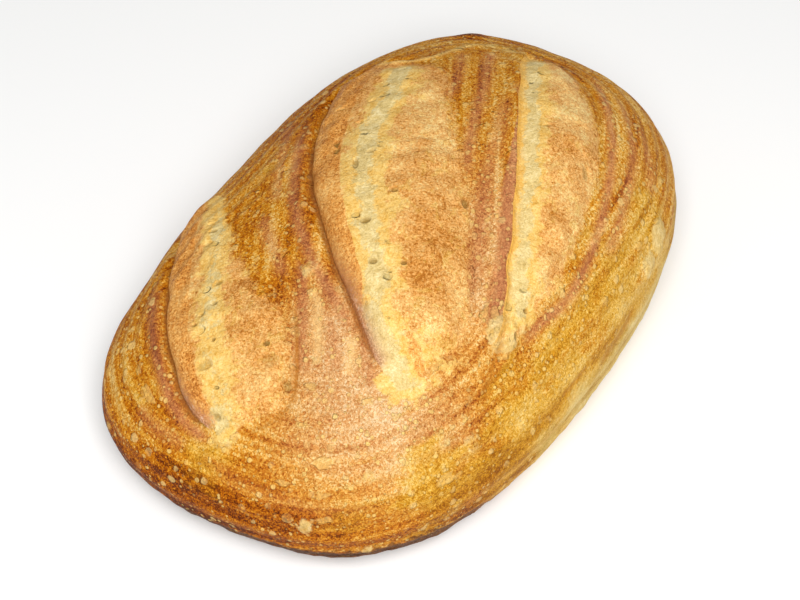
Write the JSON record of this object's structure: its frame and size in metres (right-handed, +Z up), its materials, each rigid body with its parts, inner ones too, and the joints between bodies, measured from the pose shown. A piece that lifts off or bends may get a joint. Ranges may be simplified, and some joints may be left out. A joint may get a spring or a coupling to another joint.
{
  "type": "sourdough loaf",
  "caption": "Whole oval sourdough loaf with a domed, slashed crust opened into pale blooms and a flat baked sole.",
  "frame": {"origin": "middle of the bounding box's base, on the flat sole", "axes": "+X along the loaf towards its big, high end; +Z up from the sole; -Y is the near long side, where the last slash opens"},
  "size_m": [0.2612, 0.18, 0.1065],
  "materials": {
    "baked_crust": "satin baked crust, golden to red brown, with pale torn crumb in the slashes"
  },
  "bodies": {
    "root": {"loaf": "baked_crust"}
  },
  "joints": []
}
